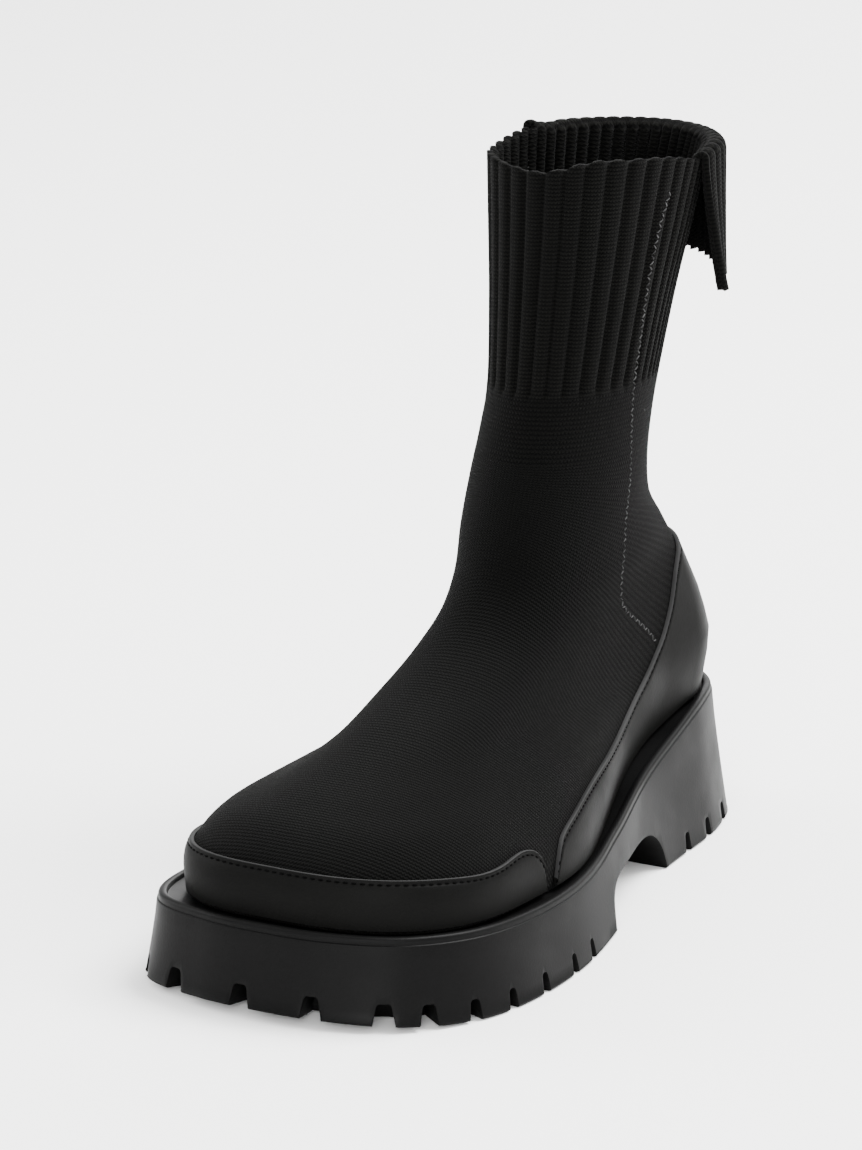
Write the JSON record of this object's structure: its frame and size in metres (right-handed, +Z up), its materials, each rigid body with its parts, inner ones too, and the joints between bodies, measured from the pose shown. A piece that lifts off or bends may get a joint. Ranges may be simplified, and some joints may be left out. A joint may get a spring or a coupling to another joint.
{
  "type": "knit ankle boot",
  "caption": "Left ankle boot with a knitted sock upper, ribbed cuff folded over at the back, leather toe rand and heel counter, and a lugged rubber platform sole with a block heel.",
  "frame": {"origin": "on the floor under the middle of the sole's length and width", "axes": "+Z up, toe towards -Y, outer side of the left foot towards +X"},
  "size_m": [0.125, 0.2784, 0.2397],
  "materials": {
    "rubber": "matte moulded rubber",
    "lining": "plain woven footbed cover",
    "knit": "matte knit with ribs",
    "leather": "smooth matte leather"
  },
  "bodies": {
    "root": {"sole": "rubber", "insole": "lining", "knit_upper": "knit", "toe_rand": "leather", "heel_counter": "leather"}
  },
  "joints": []
}
